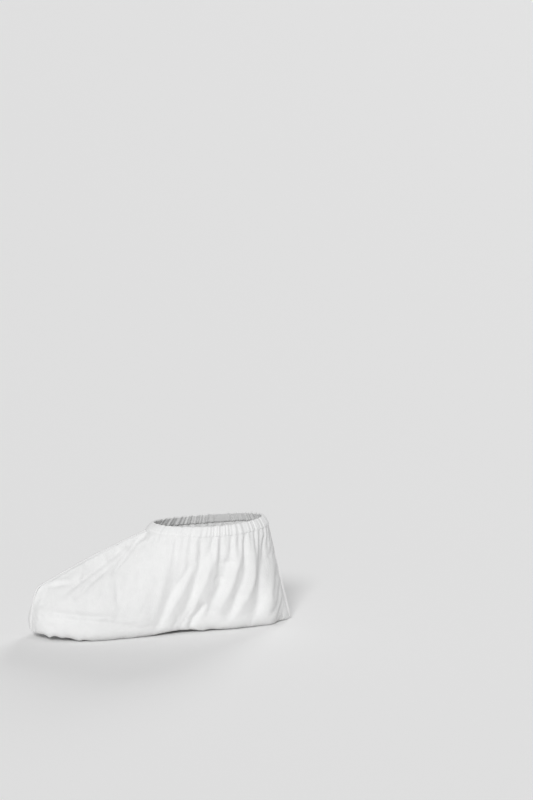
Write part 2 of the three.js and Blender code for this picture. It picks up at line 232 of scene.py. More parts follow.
# Hem casing, elastic, welts and stitches
HEM_COLUMNS = 900
HEM_HALF = 1.5
HEM_SWELL = 0.5
ELASTIC_HALF = 0.5
ELASTIC_TALL = 5
WELT_HALF = 1.9
WELT_HEIGHT = 1.2
WELT_STEPS = 420
WELT_EASE = 24
HEM_STITCH_PITCH = 3.4
SEAM_STITCH_PITCH = 3

# Wrinkles: rise of the broad and the fine ones
BROAD_WRINKLE = 0.75
FINE_WRINKLE = 0.3

# Welts: places along the way to vary them, spread of width and of sway, length of the taper in steps
WELT_VARY = 7
WELT_WIDTHS = (0.88, 1.1)
WELT_SWAY = 0.22
WELT_TAPER = 6
WELT_TIP = 0.35
STITCH_SHARE = 0.36
# Stitches on a welt: share of its half width and height, lift above it, and steps left free at each end
STITCH_PLACE = 0.72
STITCH_LIFT = 0.1
STITCH_TRIM = 8
HEM_STITCH_LIFT = 0.05

# Finishes: colour where the fibres lie thin and where they lie thick, fibre size, bump and sheen
FINISHES = {
    "cloth": ((0.8, 0.803, 0.803), (0.87, 0.87, 0.867), 900, 0.55, 0.1),
    # The welts' cloth is the panels' white cloth painted a little darker: painted shade for the shadow along
    # the raised seams
    "seam_cloth": ((0.76, 0.763, 0.763), (0.82, 0.82, 0.817), 1000, 0.4, 0),
    "hem_cloth": ((0.81, 0.813, 0.813), (0.88, 0.88, 0.877), 900, 0.55, 0.1),
    "elastic": ((0.8, 0.79, 0.75), (0.88, 0.87, 0.83), 1400, 0.5, 0.1),
    "thread": ((0.9, 0.9, 0.9), (0.95, 0.95, 0.95), 2600, 0.3, 0.1),
}
# Grey the cloth turns towards the floor, mixed in random patches
LOW_GREY = (0.62, 0.62, 0.61)

# Lights: azimuth, elevation, softness in degrees and power
KEY_LIGHT = (60, 28, 12, 1.68)
FILL_LIGHT = (233, 18, 20, 1.0)
AIR_LIGHT = 0.42
FLOOR_WHITE = 0.93

# Camera and picture
PHOTO_SIZE = (533, 800)
FOCAL_PIXELS = 3600
SENSOR = 36
CAMERA_AZIMUTH = 72
CAMERA_ELEVATION = 11
CAMERA_DISTANCE = 4500
AIM = (0, -3, 60)
AIM_PIXEL = (159.3, 581.3)


# Small helpers

def lerp(start, end, share):
    return start + (end - start) * share


def smoothstep(value, low, high):
    share = np.clip((value - low) / (high - low), 0, 1)
    return share * share * (3 - 2 * share)


def unit(vectors):
    length = np.linalg.norm(vectors, axis=-1, keepdims=True)
    return vectors / np.maximum(length, 1e-9)


def smooth_curve(places, values):
    """A curve through the table's values that never overshoots them."""
    places = np.asarray(places, float)
    values = np.asarray(values, float)
    secants = np.diff(values) / np.diff(places)
    tangents = np.empty_like(values)
    tangents[0] = secants[0]
    tangents[-1] = secants[-1]
    before = secants[:-1]
    after = secants[1:]
    same_way = before * after > 0
    total = np.where(same_way, before + after, 1)
    tangents[1:-1] = np.where(same_way, 2 * before * after / total, 0)

    def curve(at):
        at = np.clip(at, places[0], places[-1])
        left = np.clip(np.searchsorted(places, at, side="right") - 1, 0, len(places) - 2)
        width = places[left + 1] - places[left]
        share = (at - places[left]) / width
        square = share * share
        cube = square * share
        return (
            values[left] * (2 * cube - 3 * square + 1)
            + tangents[left] * width * (cube - 2 * square + share)
            + values[left + 1] * (3 * square - 2 * cube)
            + tangents[left + 1] * width * (cube - square)
        )

    return curve


# Smooth shape of one half, x at or above 0

def section_curves():
    table = np.array([row[1:] for row in SECTIONS], float)
    steps = np.hypot(np.diff(table[:, 0]), np.diff(table[:, 1]))
    places = np.concatenate(([0], np.cumsum(steps))) / steps.sum()
    return [smooth_curve(places, table[:, column]) for column in range(table.shape[1])]


SIDE_Y, HALF, GIRTH, LIFT, TUCK, ROUND, BELLY = section_curves()
RIDGE_RUN = MOUTH_FRONT[0] - TOE_CORNER[0]
RIDGE_CLIMB = MOUTH_FRONT[1] - TOE_CORNER[1]
RIDGE_LENGTH = math.hypot(RIDGE_RUN, RIDGE_CLIMB)
MOUTH_HALF_DEPTH = (MOUTH_BACK[0] - MOUTH_FRONT[0]) / 2
MOUTH_LENGTH = math.pi * math.sqrt((MOUTH_HALF_DEPTH ** 2 + MOUTH_HALF_WIDTH ** 2) / 2)
MOUTH_AT = RIDGE_LENGTH / (RIDGE_LENGTH + MOUTH_LENGTH)


def mouth_share(along):
    return np.maximum(0, (along - MOUTH_AT) / (1 - MOUTH_AT))


def opening_point(front, back, half, dip, share):
    """Point on an opening's edge; share runs 0 to 1 on this half and on to 2 round the other."""
    turn = math.pi * share
    level = (1 - np.cos(turn)) / 2
    across = half * np.sin(turn)
    height = lerp(front[1], back[1], level) - dip * np.sin(turn) ** 2
    return np.stack([across, lerp(front[0], back[0], level), height], -1)


def mouth_point(share):
    return opening_point(MOUTH_FRONT, MOUTH_BACK, MOUTH_HALF_WIDTH, MOUTH_DIP, share)


def rim_point(share):
    return opening_point(RIM_FRONT, RIM_BACK, RIM_HALF_WIDTH, RIM_DIP, share)


def top_edge(along):
    share = np.minimum(1, along / MOUTH_AT)
    height = lerp(TOE_CORNER[1], MOUTH_FRONT[1], share) + RIDGE_BULGE * np.sin(math.pi * share)
    ridge = np.stack([0 * share, lerp(TOE_CORNER[0], MOUTH_FRONT[0], share), height], -1)
    on_ridge = (along <= MOUTH_AT)[..., None]
    return np.where(on_ridge, ridge, mouth_point(mouth_share(along)))


def place_below(along):
    on_ridge = THROAT_PLACE * along / MOUTH_AT
    return np.where(along < MOUTH_AT, on_ridge, lerp(THROAT_PLACE, 1, mouth_share(along)))


def smooth_face(along, down):
    """Inside of the wall; down runs 0 to 1 on the wall, to 2 round the edge and to 3 under the sole."""
    place = place_below(along)
    top = top_edge(along)
    side = np.stack([HALF(place), SIDE_Y(place), GIRTH(place) + WALL], -1)
    middle = np.stack([0 * place, lerp(SOLE_FRONT, SOLE_BACK, place), side[..., 2]], -1)
    outward = unit(side - middle)
    floor = LIFT(place) + WALL
    corner = lerp(TOE_CORNER_TUCK, 1, smoothstep(place, 0, TOE_CORNER_SHARE))
    tuck = (TUCK(place) * corner)[..., None]

    quarter = np.clip(down, 0, 1) * math.pi / 2
    power = 2 / ROUND(place)
    out = np.sin(quarter) ** power
    fall = 1 - np.maximum(np.cos(quarter), 0) ** power
    slope = RIDGE_CLIMB / RIDGE_RUN * (1 - smoothstep(mouth_share(along), 0, SLOPE_LEVELS))
    wall = lerp(top, side, out[..., None])
    roof = top[..., 2] + slope * (wall[..., 1] - top[..., 1])
    wall[..., 2] = lerp(roof, side[..., 2], fall)
    wall = wall + outward * (BELLY(place) * np.sin(math.pi * fall))[..., None]

    turn = np.clip(down - 1, 0, 1) * math.pi / 2
    edge = side - outward * tuck * (1 - np.cos(turn))[..., None]
    edge[..., 2] = lerp(side[..., 2], floor, np.sin(turn))

    inward = np.clip(down - 2, 0, 1)[..., None]
    sole = lerp(side - outward * tuck, middle, inward)
    sole[..., 2] = floor

    face = np.where((down <= 1)[..., None], wall, np.where((down <= 2)[..., None], edge, sole))
    face[..., 0] = np.maximum(face[..., 0], 0)
    return face


# Folds, gathers and small wrinkles

def fold_rise(folds, face):
    """Height of the folds at points of one side, x at or above 0."""
    y = face[..., 1] + FOLD_SHIFT[0] * (face[..., 0] - FOLD_PLANE)
    z = face[..., 2] + FOLD_SHIFT[1] * (face[..., 0] - FOLD_PLANE)
    rise = np.zeros_like(y)
    for order, (_, y0, z0, y1, z1, bow, half, height, edge, skew) in enumerate(folds):
        run_y = y1 - y0
        run_z = z1 - z0
        length = math.hypot(run_y, run_z)
        share = ((y - y0) * run_y + (z - z0) * run_z) / length ** 2
        aside = ((z - z0) * run_y - (y - y0) * run_z) / length
        inside = np.clip(share, 0, 1)
        wander = FOLD_WANDER * half * np.sin(2 * math.pi * (1.6 * inside + 0.37 * order))
        aside = aside - bow * 4 * inside * (1 - inside) - wander
        strength = np.maximum(np.sin(math.pi * inside), 0) ** 0.7
        strength = strength * (1 + FOLD_UNEVEN * np.sin(2 * math.pi * (1.1 * inside + 0.61 * order)))
        width = half * (1 + skew * np.sign(aside))
        rise += height * strength * np.exp(-np.abs(aside / width) ** edge)
    return rise


def gather_rise(share, below):
    """Valleys under the hem and the low crests between them; share runs on to 2 round the other side."""
    other = share > 1
    place = np.where(other, 2 - share + OTHER_SIDE_SLIP, share)
    grows = lerp(HEM_SHARE, 1, smoothstep(below, 0, HEM_REACH))
    shown = smoothstep(place, *CREST_START) * (1 - smoothstep(place, *CREST_END))
    rise = GATHER_CREST * shown * np.exp(-(below / CREST_REACH) ** 2)
    for _, at, depth, length in GATHER_VALLEYS:
        valley = np.exp(-((place - at) / GATHER_HALF) ** 2 - (below / length) ** 2)
        rise = rise - GATHER_DEPTH * depth * valley
    return rise * grows


def slack_drop(y, down):
    """How far the slack cloth under the toe and arch hangs below the plain edge."""
    low = np.exp(-((down - 1.75) / 0.45) ** 2)
    drop = np.zeros_like(y)
    for _, at, fall, half in SLACK_LOOPS:
        drop += fall * np.exp(-((y - at) / half) ** 2)
    return drop * low


def wrinkle_rise(points, seed):
    """Small uneven wrinkles that run down the cloth."""
    shift = Vector((seed * 3.7, seed * 1.9, seed * 5.3))
    flat = points.reshape(-1, 3)
    rise = np.empty(len(flat))
    for index, (x, y, z) in enumerate(flat):
        broad = noise.noise(Vector((x / 30, (y - 0.35 * z) / 17, z / 42)) + shift)
        fine = noise.noise(Vector((x / 13, (y - 0.45 * z) / 7, z / 19)) - shift)
        rise[index] = BROAD_WRINKLE * broad + FINE_WRINKLE * fine
    return rise.reshape(points.shape[:-1])


# Meshes

def grid_faces(columns, rows, loop=False, flip=False):
    """Four-sided faces of a grid stored column by column."""
    last = columns if loop else columns - 1
    column, row = np.meshgrid(np.arange(last), np.arange(rows - 1), indexing="ij")
    after = (column + 1) % columns
    corners = [
        column * rows + row,
        column * rows + row + 1,
        after * rows + row + 1,
        after * rows + row,
    ]
    faces = np.stack(corners, -1).reshape(-1, 4)
    return faces[:, ::-1] if flip else faces


def add_mesh(name, points, faces, uv=None):
    mesh = bpy.data.meshes.new(name)
    mesh.from_pydata((np.asarray(points).reshape(-1, 3) * MM).tolist(), [], faces.tolist())
    if uv is not None:
        layer = mesh.uv_layers.new(name="cut")
        corner = np.empty(len(mesh.loops), np.int32)
        mesh.loops.foreach_get("vertex_index", corner)
        layer.data.foreach_set("uv", uv.reshape(-1, 2)[corner].astype(np.float32).ravel())
    mesh.validate()
    mesh.shade_smooth()
    piece = bpy.data.objects.new(name, mesh)
    bpy.context.scene.collection.objects.link(piece)
    return piece


def apply_modifiers(piece):
    """Turns the modifiers' result into a plain mesh."""
    graph = bpy.context.evaluated_depsgraph_get()
    made = bpy.data.meshes.new_from_object(piece.evaluated_get(graph))
    piece.modifiers.clear()
    old = piece.data
    piece.data = made
    made.name = piece.name
    bpy.data.meshes.remove(old)
    return piece


def thicken(piece, thickness):
    """Gives a sheet its cloth thickness on the inner side."""
    solid = piece.modifiers.new("cloth", "SOLIDIFY")
    solid.thickness = thickness * MM
    solid.offset = -1
    return apply_modifiers(piece)


def panel_grid():
    ridge = np.linspace(0, MOUTH_AT, int(PANEL_COLUMNS * 0.36), endpoint=False)
    mouth = np.linspace(MOUTH_AT, 1, PANEL_COLUMNS - ridge.size)
    down = np.concatenate((
        np.linspace(0, 1, WALL_ROWS, endpoint=False),
        np.linspace(1, 2, TURN_ROWS, endpoint=False),
        np.linspace(2, 3, SOLE_ROWS),
    ))
    return np.meshgrid(np.concatenate((ridge, mouth)), down, indexing="ij")


def ease_edge(face, down):
    """Rounds the line where the wall turns under, as soft cloth does."""
    ease = 0.5 * np.exp(-((down[:, 1:-1] - 1.05) / EDGE_EASE) ** 2)[..., None]
    for _ in range(EDGE_ROUNDS):
        middle = (face[:, :-2] + face[:, 2:]) / 2
        face[:, 1:-1] = lerp(face[:, 1:-1], middle, ease)
    return face


def grid_normal(face):
    ahead = np.gradient(face, axis=0)
    below = np.gradient(face, axis=1)
    normal = np.cross(below, ahead)
    normal[..., 0] = np.maximum(normal[..., 0], 0)
    return unit(normal)


def panel_points(folds, seed, other_side):
    """Outer face of one cloth half before it settles; the other half mirrors it with its own folds."""
    along, down = panel_grid()
    face = ease_edge(smooth_face(along, down), down)
    normal = grid_normal(face)
    share = mouth_share(along)
    below = np.maximum(top_edge(along)[..., 2] - face[..., 2], 0)
    round_mouth = 2 - share if other_side else share
    on_wall = down < 2
    rise = np.where(on_wall, fold_rise(folds, face), 0)
    rise *= smoothstep(below, 0, HEM_REACH)
    rise += np.where(along > MOUTH_AT, gather_rise(round_mouth, below), 0)
    rise += np.where(on_wall, wrinkle_rise(face, seed), 0) * smoothstep(below, 0, HEM_REACH)
    rise *= smoothstep(face[..., 0], 0, SEAM_CLEAR)
    points = face + normal * (rise + WALL)[..., None]
    points[..., 0] += SEAM_GAP
    points[..., 2] -= slack_drop(face[..., 1], down)
    points[..., 2] = np.maximum(points[..., 2], 0)
    return points


def press_creases(points, creases):
    """Presses thin creases into settled cloth, x at or above 0."""
    along, down = panel_grid()
    face = smooth_face(along, down)
    rise = np.where(down < 2, fold_rise(creases, face), 0)
    rise *= smoothstep(face[..., 0], 0, SEAM_CLEAR * 0.6)
    return points + grid_normal(points) * rise[..., None]


# Settling: the cloth wrinkles a little, held at its sewn edges, over a body just inside it

def body_points():
    along, down = panel_grid()
    face = ease_edge(smooth_face(along, down), down)
    return face - grid_normal(face) * (BODY_DEPTH - WALL)


def held_weights():
    """How firmly each point is held: fully at the hem, the seams and the sole."""
    along, down = panel_grid()
    face = smooth_face(along, down)
    seam = 1 - smoothstep(face[..., 0], 1, SEAM_CLEAR)
    below = top_edge(along)[..., 2] - face[..., 2]
    hem = np.where(along > MOUTH_AT, 1 - smoothstep(below, 0.5, 6), 0)
    sole = smoothstep(down, 1.5, 2)
    return np.maximum(np.maximum(seam, hem), sole).ravel()


def settle(points, faces, body):
    """Runs the cloth once and returns its points, no further from the start than the limit."""
    cloth = add_mesh("settling_cloth", points * SETTLE_SCALE, faces)
    under = add_mesh("settling_body", body * SETTLE_SCALE, faces)
    group = cloth.vertex_groups.new(name="held")
    for index, weight in enumerate(held_weights()):
        group.add([index], weight, "REPLACE")
    under.modifiers.new("body", "COLLISION")
    under.collision.thickness_outer = 0.002
    under.collision.cloth_friction = 20
    motion = cloth.modifiers.new("settle", "CLOTH")
    settings = motion.settings
    settings.quality = 6
    settings.mass = 0.2
    settings.tension_stiffness = 20
    settings.compression_stiffness = 20
    settings.shear_stiffness = 8
    settings.bending_stiffness = 0.4
    settings.air_damping = 3
    settings.vertex_group_mass = "held"
    settings.shrink_min = -SETTLE_GROWTH
    settings.shrink_max = -SETTLE_GROWTH
    settings.effector_weights.gravity = 0.15
    motion.collision_settings.distance_min = 0.004
    motion.point_cache.frame_start = 1
    motion.point_cache.frame_end = SETTLE_FRAMES
    scene = bpy.context.scene
    for moment in range(1, SETTLE_FRAMES + 1):
        scene.frame_set(moment)
    graph = bpy.context.evaluated_depsgraph_get()
    settled = np.empty(len(cloth.data.vertices) * 3)
    cloth.evaluated_get(graph).data.vertices.foreach_get("co", settled)
    for piece in (cloth, under):
        bpy.data.objects.remove(piece)
    scene.frame_set(1)
    move = settled.reshape(points.shape) / SETTLE_SCALE / MM - points
    far = np.linalg.norm(move, axis=-1, keepdims=True)
    return points + move * SETTLE_LIMIT / (SETTLE_LIMIT + far)


def make_panel(name, folds, creases, seed, side):
    points = panel_points(folds, seed, side < 0)
    faces = grid_faces(*points.shape[:2])
    points = settle(points, faces, body_points())
    points = press_creases(points, creases)
    points[..., 2] = np.maximum(points[..., 2], 0)
    points[..., 0] *= side
    along, down = panel_grid()
    uv = np.stack([along, down / 3], -1)
    piece = add_mesh(name, points, faces if side > 0 else faces[:, ::-1], uv)
    finer = piece.modifiers.new("finer", "SUBSURF")
    finer.boundary_smooth = "PRESERVE_CORNERS"
    finer.levels = 1
    finer.render_levels = 1
    apply_modifiers(piece)
    return thicken(piece, CLOTH)


# Hem casing and the elastic in it

def hem_frame(share):
    """Foot of the hem, the way up it, the way out of it and its height."""
    foot = mouth_point(share)
    climb = rim_point(share) - foot
    tall = np.linalg.norm(climb, axis=-1)
    ahead = mouth_point(share + PROBE) - mouth_point(share - PROBE)
    up = unit(climb)
    out = unit(np.cross(unit(ahead), up))
    return foot, up, out, tall


def hem_ripple(share):
    """Gathers of the hem: the panel's own and finer ones between them."""
    place = np.minimum(share, 2 - share)
    fade = lerp(0.3, 1, smoothstep(place, 0.25, 0.5)) * (1 - smoothstep(place, 0.93, 1))
    drift = RIPPLE_DRIFT * np.sin(2 * math.pi * 4 * share)
    uneven = 0.75 + 0.25 * np.sin(2 * math.pi * 11 * share + 1)
    fine = uneven * np.sin(2 * math.pi * (RIPPLES * share + drift))
    return gather_rise(share, 0 * share) + RIPPLE_RISE * fade * fine


def hem_profile(tall):
    """Section of the casing, outer edge first: across the wall and up it."""
    rows = [(0.75, -1.2), (1.0, -0.6), (1.25, 0.4)]
    for share in np.linspace(0.1, 0.86, 10):
        rows.append((HEM_HALF + HEM_SWELL * math.sin(math.pi * share), share * tall))
    for angle in np.linspace(0.25, math.pi - 0.25, 9):
        rows.append((HEM_HALF * math.cos(angle), tall * 0.88 + HEM_HALF * math.sin(angle)))
    for share in np.linspace(0.86, 0.1, 10):
        rows.append((-HEM_HALF, share * tall))
    rows += [(-1.2, 0.4), (-1.0, -0.4)]
    return np.array(rows)


def hem_points():
    share = np.linspace(0, 2, HEM_COLUMNS, endpoint=False)
    foot, up, out, tall = hem_frame(share)
    profile = hem_profile(tall.mean())
    ripple = hem_ripple(share)
    points = []
    for across, level in profile:
        height = np.clip(level / tall, 0, 1)
        fold = ripple * lerp(1, 0.7, height) + WALL / 2
        tilt = 0.4 * np.sin(2 * math.pi * 17 * share)
        lift = level + tilt * height
        points.append(foot + out * (fold + across)[:, None] + up * lift[:, None])
    points = np.stack(points, 1)
    return points


def make_hem():
    points = hem_points()
    columns, rows = points.shape[:2]
    across, level = np.meshgrid(np.linspace(0, 1, columns), np.linspace(0, 1, rows), indexing="ij")
    uv = np.stack([across, level], -1)
    faces = grid_faces(columns, rows, loop=True, flip=True)
    return thicken(add_mesh("hem_casing", points, faces, uv), CLOTH * 0.7)


def make_elastic():
    share = np.linspace(0, 2, HEM_COLUMNS // 2, endpoint=False)
    foot, up, out, tall = hem_frame(share)
    middle = foot + out * (hem_ripple(share) * 0.85 + WALL / 2)[:, None] + up * (tall * 0.5)[:, None]
    rib = 0.06 * np.cos(2 * math.pi * np.linspace(0, 1, 9))
    path = [(ELASTIC_HALF + rib[i], lerp(-0.5, 0.5, i / 8) * ELASTIC_TALL) for i in range(9)]
    path += [(-across, level) for across, level in reversed(path)]
    points = np.stack([middle + out * a + up * b for a, b in path], 1)
    points = np.concatenate((points, points[:, :1]), 1)
    faces = grid_faces(*points.shape[:2], loop=True, flip=True)
    piece = add_mesh("elastic_band", points, faces)
    weld = piece.modifiers.new("close", "WELD")
    weld.merge_threshold = 0.01 * MM
    return apply_modifiers(piece)


# Seam welts

def welt_path(edges):
    """Even points along the seam on the cloth's outer face, with the way out."""
    along, down = edges
    fine = 3000
    places = np.linspace(0, len(along) - 1, fine)
    corner = np.arange(len(along))
    along = np.interp(places, corner, along)
    down = np.interp(places, corner, down)
    face = smooth_face(along, down)
    face[:, 0] = 0
    steps = np.concatenate(([0], np.cumsum(np.linalg.norm(np.diff(face, axis=0), axis=1))))
    even = np.linspace(0, steps[-1], WELT_STEPS)
    line = np.stack([np.interp(even, steps, face[:, axis]) for axis in range(3)], -1)
    for _ in range(WELT_EASE):
        line[1:-1] = (line[:-2] + 2 * line[1:-1] + line[2:]) / 4
    run = unit(np.gradient(line, axis=0))
    out = np.stack([0 * run[:, 0], -run[:, 2], run[:, 1]], -1)
    return line, out, steps[-1]


FRONT_EDGES = ((MOUTH_AT * 0.995, 0.0, 0.0), (0.0, 0.0, 1.75))
HEEL_EDGES = ((1.0, 1.0), (0.03, 1.2))


def make_welt(name, edges, outward):
    line, out, length = welt_path(edges)
    out = out * outward
    across = np.array([1.0, 0, 0])
    angle = np.linspace(0, math.pi, 13)
    chance = np.random.default_rng(SEED + len(name))
    places = np.linspace(0, WELT_STEPS - 1, int(length / WELT_VARY) + 2)
    width = np.interp(np.arange(WELT_STEPS), places, chance.uniform(*WELT_WIDTHS, places.size))
    sway = np.interp(np.arange(WELT_STEPS), places, chance.uniform(-WELT_SWAY, WELT_SWAY, places.size))
    from_end = np.minimum(np.arange(WELT_STEPS), np.arange(WELT_STEPS)[::-1])
    taper = np.minimum(1, from_end / WELT_TAPER + WELT_TIP)
    rings = []
    for turn in angle:
        wide = WELT_HALF * math.cos(turn) * width * taper + sway
        high = WALL - 0.1 + WELT_HEIGHT * math.sin(turn) ** 0.8 * width * taper
        rings.append(line + across * wide[:, None] + out * high[:, None])
    rings = np.stack(rings, 1)
    low = rings[:, [0, 6, 12]].copy()
    low[:, 0] -= out * 0.5
    low[:, 1] = line + out * (WALL - 0.6)
    low[:, 2] -= out * 0.5
    points = np.concatenate((rings, low[:, 2:3], low[:, 1:2], low[:, 0:1]), 1)
    return close_tube(name, points)


def close_tube(name, points):
    """A closed strip: rings joined along their length and capped at both ends."""
    columns, rows = points.shape[:2]
    ringed = np.arange(columns * rows).reshape(columns, rows)
    faces = []
    for row in range(rows):
        after = (row + 1) % rows
        side = np.stack([ringed[:-1, row], ringed[:-1, after], ringed[1:, after], ringed[1:, row]], -1)
        faces += side.tolist()
    faces.append(ringed[0, ::-1].tolist())
    faces.append(ringed[-1].tolist())
    mesh = bpy.data.meshes.new(name)
    mesh.from_pydata((points.reshape(-1, 3) * MM).tolist(), [], faces)
    mesh.validate()
    face_outward(mesh)
    mesh.shade_smooth()
    piece = bpy.data.objects.new(name, mesh)
    bpy.context.scene.collection.objects.link(piece)
    return piece


def face_outward(mesh):
    """Turns a closed mesh's faces outward."""
    made = bmesh.new()
    made.from_mesh(mesh)
    bmesh.ops.recalc_face_normals(made, faces=made.faces)
    made.to_mesh(mesh)
    made.free()


# Stitches, laid by a node tree along a line of points

def stitch_tree():
    tree = bpy.data.node_groups.new("stitch_row", "GeometryNodeTree")
    tree.interface.new_socket("Geometry", in_out="INPUT", socket_type="NodeSocketGeometry")
    for name, start in (("Pitch", 0.003), ("Length", 0.0011), ("Thread", 0.00026)):
        socket = tree.interface.new_socket(name, in_out="INPUT", socket_type="NodeSocketFloat")
        socket.default_value = start
    tree.interface.new_socket("Material", in_out="INPUT", socket_type="NodeSocketMaterial")
    tree.interface.new_socket("Geometry", in_out="OUTPUT", socket_type="NodeSocketGeometry")
    node = tree.nodes.new
    link = tree.links.new
    start = node("NodeGroupInput")
    end = node("NodeGroupOutput")
    curve = node("GeometryNodeMeshToCurve")
    even = node("GeometryNodeResampleCurve")
    even.mode = "LENGTH"
    tangent = node("GeometryNodeInputTangent")
    align = node("FunctionNodeAlignRotationToVector")
    align.axis = "X"
    size = node("ShaderNodeCombineXYZ")
    bead = node("GeometryNodeMeshUVSphere")
    bead.inputs["Segments"].default_value = 10
    bead.inputs["Rings"].default_value = 6
    bead.inputs["Radius"].default_value = 1
    place = node("GeometryNodeInstanceOnPoints")
    real = node("GeometryNodeRealizeInstances")
    smooth = node("GeometryNodeSetShadeSmooth")
    cover = node("GeometryNodeSetMaterial")
    link(start.outputs["Geometry"], curve.inputs["Mesh"])
    link(curve.outputs["Curve"], even.inputs["Curve"])
    link(start.outputs["Pitch"], even.inputs["Length"])
    link(tangent.outputs["Tangent"], align.inputs["Vector"])
    link(start.outputs["Length"], size.inputs["X"])
    link(start.outputs["Thread"], size.inputs["Y"])
    link(start.outputs["Thread"], size.inputs["Z"])
    link(even.outputs["Curve"], place.inputs["Points"])
    link(bead.outputs["Mesh"], place.inputs["Instance"])
    link(align.outputs["Rotation"], place.inputs["Rotation"])
    link(size.outputs["Vector"], place.inputs["Scale"])
    link(place.outputs["Instances"], real.inputs["Geometry"])
    link(real.outputs["Geometry"], smooth.inputs["Geometry"])
    link(smooth.outputs["Geometry"], cover.inputs["Geometry"])
    link(start.outputs["Material"], cover.inputs["Material"])
    link(cover.outputs["Geometry"], end.inputs["Geometry"])
    return tree


def make_stitches(name, tree, line, closed, pitch, material):
    count = len(line)
    last = count if closed else count - 1
    edges = [(index, (index + 1) % count) for index in range(last)]
    mesh = bpy.data.meshes.new(name)
    mesh.from_pydata((line * MM).tolist(), edges, [])
    piece = bpy.data.objects.new(name, mesh)
    bpy.context.scene.collection.objects.link(piece)
    rows = piece.modifiers.new("stitch_row", "NODES")
    rows.node_group = tree
    values = {"Pitch": pitch * MM, "Length": pitch * STITCH_SHARE * MM, "Material": material}
    for item in tree.interface.items_tree:
        if item.in_out == "INPUT" and item.name in values:
            rows[item.identifier] = values[item.name]
    return apply_modifiers(piece)


def hem_stitch_line():
    """Line of the hem's sewing, low on the casing's outer face."""
    points = hem_points()
    return points[:, 3] + unit(points[:, 3] - points[:, -3]) * HEM_STITCH_LIFT


def welt_stitch_line(edges, outward):
    line, out, _ = welt_path(edges)
    trimmed = slice(STITCH_TRIM, -STITCH_TRIM)
    aside = np.array([WELT_HALF * STITCH_PLACE, 0, 0])
    height = WALL + STITCH_LIFT + WELT_HEIGHT * STITCH_PLACE
    return line[trimmed] + aside + out[trimmed] * outward * height


# Materials

def group_node(tree, group, **values):
    node = tree.nodes.new("ShaderNodeGroup")
    node.node_tree = group
    for name, value in values.items():
        node.inputs[name.replace("_", " ")].default_value = value
    return node


def math_node(tree, operation, first, second):
    node = tree.nodes.new("ShaderNodeMath")
    node.operation = operation
    for index, value in enumerate((first, second)):
        if isinstance(value, (int, float)):
            node.inputs[index].default_value = value
        else:
            tree.links.new(value, node.inputs[index])
    return node.outputs[0]


def fibre_group():
    """Web of pressed fibres with small bonded points: its height and a cloudy thickness mask."""
    tree = bpy.data.node_groups.new("fibre_web", "ShaderNodeTree")
    place = tree.interface.new_socket("Place", in_out="INPUT", socket_type="NodeSocketVector")
    place.hide_value = True
    size = tree.interface.new_socket("Fibre size", in_out="INPUT", socket_type="NodeSocketFloat")
    size.default_value = 900
    tree.interface.new_socket("Height", in_out="OUTPUT", socket_type="NodeSocketFloat")
    tree.interface.new_socket("Cloud", in_out="OUTPUT", socket_type="NodeSocketFloat")
    start = tree.nodes.new("NodeGroupInput")
    end = tree.nodes.new("NodeGroupOutput")
    heights = []
    for stretch in ((1, 0.22, 1), (0.3, 1, 0.45)):
        scaled = tree.nodes.new("ShaderNodeVectorMath")
        scaled.operation = "MULTIPLY"
        scaled.inputs[1].default_value = stretch
        tree.links.new(start.outputs["Place"], scaled.inputs[0])
        fibres = tree.nodes.new("ShaderNodeTexNoise")
        fibres.inputs["Detail"].default_value = 3
        fibres.inputs["Distortion"].default_value = 0.6
        tree.links.new(scaled.outputs[0], fibres.inputs["Vector"])
        tree.links.new(start.outputs["Fibre size"], fibres.inputs["Scale"])
        heights.append(fibres.outputs["Fac"])
    points = tree.nodes.new("ShaderNodeTexVoronoi")
    points.inputs["Scale"].default_value = 620
    points.inputs["Randomness"].default_value = 0.35
    tree.links.new(start.outputs["Place"], points.inputs["Vector"])
    bonded = math_node(tree, "SMOOTH_MIN", points.outputs["Distance"], 0.32)
    web = math_node(tree, "ADD", heights[0], heights[1])
    height = math_node(tree, "ADD", web, bonded)
    tree.links.new(height, end.inputs["Height"])
    cloud = tree.nodes.new("ShaderNodeTexNoise")
    cloud.inputs["Scale"].default_value = 95
    cloud.inputs["Detail"].default_value = 4
    tree.links.new(start.outputs["Place"], cloud.inputs["Vector"])
    tree.links.new(cloud.outputs["Fac"], end.inputs["Cloud"])
    return tree


def low_grey_group():
    """Mask that greys the cloth towards the floor in random patches, fading out at the reach above it."""
    tree = bpy.data.node_groups.new("low_grey_mask", "ShaderNodeTree")
    place = tree.interface.new_socket("Place", in_out="INPUT", socket_type="NodeSocketVector")
    place.hide_value = True
    reach = tree.interface.new_socket("Reach", in_out="INPUT", socket_type="NodeSocketFloat")
    reach.default_value = 0.012
    tree.interface.new_socket("Mask", in_out="OUTPUT", socket_type="NodeSocketFloat")
    start = tree.nodes.new("NodeGroupInput")
    end = tree.nodes.new("NodeGroupOutput")
    split = tree.nodes.new("ShaderNodeSeparateXYZ")
    tree.links.new(start.outputs["Place"], split.inputs[0])
    level = tree.nodes.new("ShaderNodeMapRange")
    level.inputs["To Min"].default_value = 1
    level.inputs["To Max"].default_value = 0
    tree.links.new(split.outputs["Z"], level.inputs["Value"])
    tree.links.new(start.outputs["Reach"], level.inputs["From Max"])
    patches = tree.nodes.new("ShaderNodeTexNoise")
    patches.inputs["Scale"].default_value = 60
    patches.inputs["Detail"].default_value = 5
    tree.links.new(start.outputs["Place"], patches.inputs["Vector"])
    mask = math_node(tree, "MULTIPLY", level.outputs[0], patches.outputs["Fac"])
    tree.links.new(mask, end.inputs["Mask"])
    return tree


def mix_colour(tree, mask, first, second):
    node = tree.nodes.new("ShaderNodeMix")
    node.data_type = "RGBA"
    tree.links.new(mask, node.inputs[0])
    for socket, value in ((node.inputs[6], first), (node.inputs[7], second)):
        if isinstance(value, tuple):
            socket.default_value = (*value, 1)
        else:
            tree.links.new(value, socket)
    return node.outputs[2]


